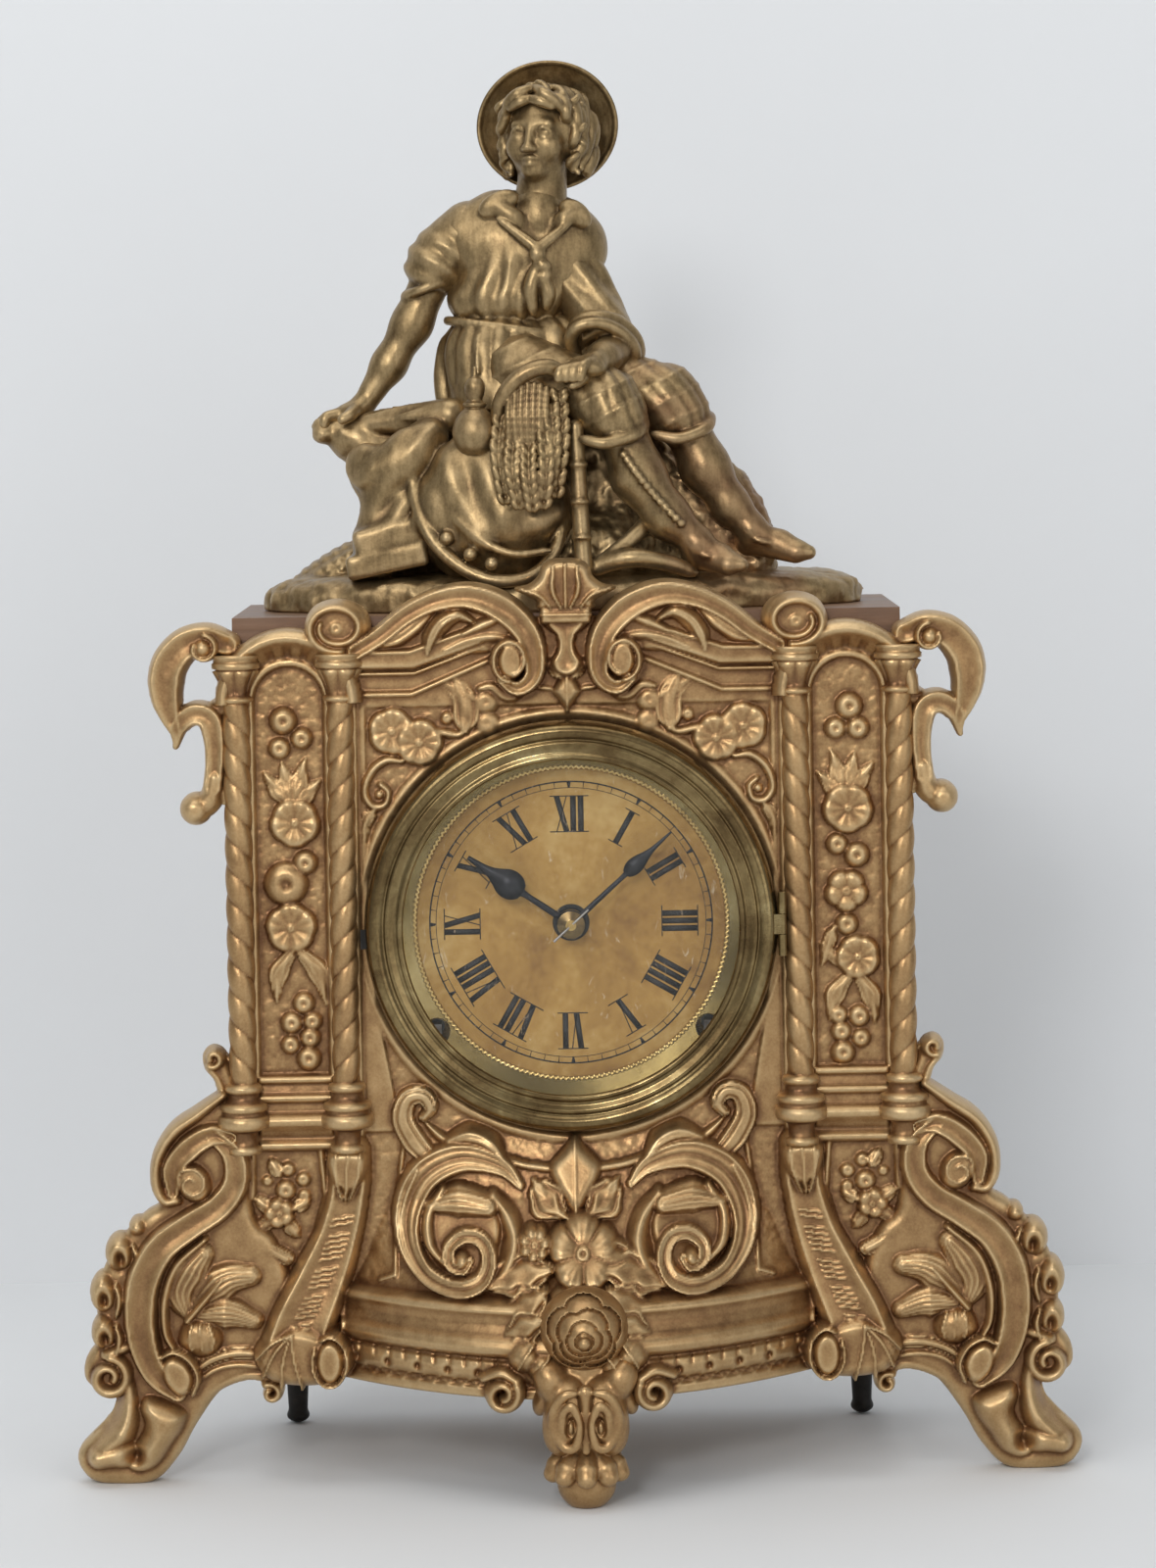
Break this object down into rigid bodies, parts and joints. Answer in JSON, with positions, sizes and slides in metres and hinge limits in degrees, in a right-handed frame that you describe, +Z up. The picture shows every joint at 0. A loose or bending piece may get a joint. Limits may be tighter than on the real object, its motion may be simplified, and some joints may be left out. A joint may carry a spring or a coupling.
{
  "type": "figural clock",
  "caption": "Mantel clock with an ornate cast front on scrolled feet, a wooden case, a hinged glazed bezel over a paper dial, and a seated harvester on top.",
  "frame": {"origin": "on the ground, under the middle of the clock's bounding box", "axes": "+X to the viewer's right, +Y to the back, +Z up; the dial faces -Y"},
  "size_m": [0.3646, 0.169, 0.5152],
  "materials": {
    "bronze_casting": "bronze-gold paint, rubbed, reddish in the hollows",
    "bronze_figure": "darker olive bronze with coppery wear",
    "walnut": "reddish brown varnish",
    "plain_wood": "bare wood",
    "black_iron": "dark paint",
    "aged_brass": "aged, brown patina in bands",
    "sight_brass": "bright lacquered brass",
    "catch_dark": "dark patina",
    "glass": "clear",
    "dial_paper": "aged and scuffed",
    "dial_sheet": "dull sheet",
    "blued_steel": "blackened",
    "steel": "plain",
    "movement_brass": "plain"
  },
  "bodies": {
    "case": {"front_casting": "bronze_casting", "figure_base": "bronze_figure", "figure_seat": "bronze_figure", "figure_torso": "bronze_figure", "figure_right_leg": "bronze_figure", "figure_left_leg": "bronze_figure", "figure_right_arm": "bronze_figure", "figure_left_arm": "bronze_figure", "figure_head": "bronze_figure", "figure_hat": "bronze_figure", "wheat_sheaf": "bronze_figure", "gourd_bottle": "bronze_figure", "case_top_board": "walnut", "case_left_side": "walnut", "case_right_side": "walnut", "case_bottom_board": "plain_wood", "back_panel": "plain_wood", "corner_blocks": "plain_wood", "rear_feet": "black_iron", "case_hinge_leaf": "aged_brass", "back_hinge": "aged_brass", "sight_ring": "sight_brass", "dial_paper": "dial_paper", "dial_plate": "dial_sheet", "casting_screws": "steel", "figure_studs": "steel", "time_mainspring": "steel", "strike_mainspring": "steel", "gong": "steel", "front_plate": "movement_brass", "back_plate": "movement_brass", "plate_pillars": "movement_brass", "suspension_cock": "movement_brass"},
    "bezel": {"bezel_ring": "aged_brass", "bezel_glass": "glass", "bezel_hinge_leaf": "aged_brass", "bezel_catch": "catch_dark"},
    "door": {"back_door": "dial_sheet", "back_door_knob": "aged_brass"},
    "minute_set": {"minute_hand": "blued_steel", "cannon_pinion": "movement_brass", "hand_collet": "aged_brass"},
    "hour_set": {"hour_hand": "blued_steel", "hour_wheel": "movement_brass"},
    "motion_idler": {"minute_wheel": "movement_brass"},
    "going_main": {"time_main_wheel": "movement_brass"},
    "going_second": {"second_wheel": "movement_brass"},
    "going_centre": {"centre_wheel": "movement_brass", "taper_pin": "steel"},
    "going_third": {"third_wheel": "movement_brass"},
    "going_escape": {"escape_wheel": "movement_brass"},
    "going_winder": {"time_winding_arbor": "steel"},
    "strike_winder": {"strike_winding_arbor": "steel"},
    "strike_main": {"strike_main_wheel": "movement_brass"},
    "strike_second": {"strike_second_wheel": "movement_brass"},
    "strike_brake": {"strike_fly": "movement_brass"},
    "hammer": {"hammer": "steel"},
    "verge": {"verge": "steel"},
    "pendulum": {"pendulum_rod": "steel"},
    "bob": {"pendulum_bob": "movement_brass"}
  },
  "joints": [
    {"name": "bezel_swing", "type": "hinge", "parent": "case", "child": "bezel", "pos_m": [0.076, -0.0345, 0.2005], "axis": [0, 0, 1], "range_deg": [0, 115]},
    {"name": "back_door_swing", "type": "hinge", "parent": "case", "child": "door", "pos_m": [-0.067, 0.0788, 0.165], "axis": [0, 0, 1], "range_deg": [0, 110]},
    {"name": "minute_hand_turn", "type": "hinge", "parent": "case", "child": "minute_set", "pos_m": [0, 0, 0.2005], "axis": [0, 1, 0], "continuous": true},
    {"name": "hour_hand_turn", "type": "hinge", "parent": "case", "child": "hour_set", "pos_m": [0, 0, 0.2005], "axis": [0, 1, 0], "continuous": true},
    {"name": "motion_idler_turn", "type": "hinge", "parent": "case", "child": "motion_idler", "pos_m": [0.006, 0, 0.19011], "axis": [0, 1, 0], "continuous": true},
    {"name": "third_wheel_turn", "type": "hinge", "parent": "case", "child": "going_third", "pos_m": [0.00747, 0, 0.21885], "axis": [0, 1, 0], "continuous": true},
    {"name": "centre_wheel_turn", "type": "hinge", "parent": "case", "child": "going_centre", "pos_m": [0, 0, 0.2005], "axis": [0, 1, 0], "continuous": true},
    {"name": "second_wheel_turn", "type": "hinge", "parent": "case", "child": "going_second", "pos_m": [0.01217, 0, 0.18261], "axis": [0, 1, 0], "continuous": true},
    {"name": "going_main_turn", "type": "hinge", "parent": "case", "child": "going_main", "pos_m": [0.0495, 0, 0.162], "axis": [0, 1, 0], "continuous": true},
    {"name": "escape_wheel_turn", "type": "hinge", "parent": "case", "child": "going_escape", "pos_m": [0, 0, 0.236], "axis": [0, 1, 0], "continuous": true},
    {"name": "going_winding", "type": "hinge", "parent": "case", "child": "going_winder", "pos_m": [0.0495, 0, 0.162], "axis": [0, 1, 0], "range_deg": [0, 2520]},
    {"name": "strike_winding", "type": "hinge", "parent": "case", "child": "strike_winder", "pos_m": [-0.0495, 0, 0.162], "axis": [0, 1, 0], "range_deg": [0, 2520]},
    {"name": "strike_second_turn", "type": "hinge", "parent": "case", "child": "strike_second", "pos_m": [-0.0569, 0, 0.20399], "axis": [0, 1, 0], "continuous": true},
    {"name": "strike_main_turn", "type": "hinge", "parent": "case", "child": "strike_main", "pos_m": [-0.0495, 0, 0.162], "axis": [0, 1, 0], "continuous": true},
    {"name": "strike_fly_turn", "type": "hinge", "parent": "case", "child": "strike_brake", "pos_m": [-0.05043, 0, 0.22178], "axis": [0, 1, 0], "continuous": true},
    {"name": "hammer_lift", "type": "hinge", "parent": "case", "child": "hammer", "pos_m": [-0.029, 0, 0.205], "axis": [0, 1, 0], "range_deg": [0, 8]},
    {"name": "pendulum_swing", "type": "hinge", "parent": "case", "child": "pendulum", "pos_m": [0, 0, 0.262], "axis": [0, 1, 0], "range_deg": [-4, 4]},
    {"name": "verge_rock", "type": "hinge", "parent": "case", "child": "verge", "pos_m": [0, 0, 0.262], "axis": [0, 1, 0], "range_deg": [-4, 4]},
    {"name": "bob_slide", "type": "slide", "parent": "pendulum", "child": "bob", "axis": [0, 0, 1], "range_m": [-0.003, 0.003]}
  ],
  "couplings": [
    {"joint": "hour_hand_turn", "follows": "minute_hand_turn", "ratio": 0.083333},
    {"joint": "motion_idler_turn", "follows": "minute_hand_turn", "ratio": -0.33333},
    {"joint": "centre_wheel_turn", "follows": "third_wheel_turn", "ratio": -0.1},
    {"joint": "second_wheel_turn", "follows": "third_wheel_turn", "ratio": 0.033333},
    {"joint": "going_main_turn", "follows": "third_wheel_turn", "ratio": -0.0083333},
    {"joint": "escape_wheel_turn", "follows": "third_wheel_turn", "ratio": -12},
    {"joint": "strike_main_turn", "follows": "strike_second_turn", "ratio": -0.25},
    {"joint": "strike_fly_turn", "follows": "strike_second_turn", "ratio": -6},
    {"joint": "verge_rock", "follows": "pendulum_swing", "ratio": 1}
  ]
}
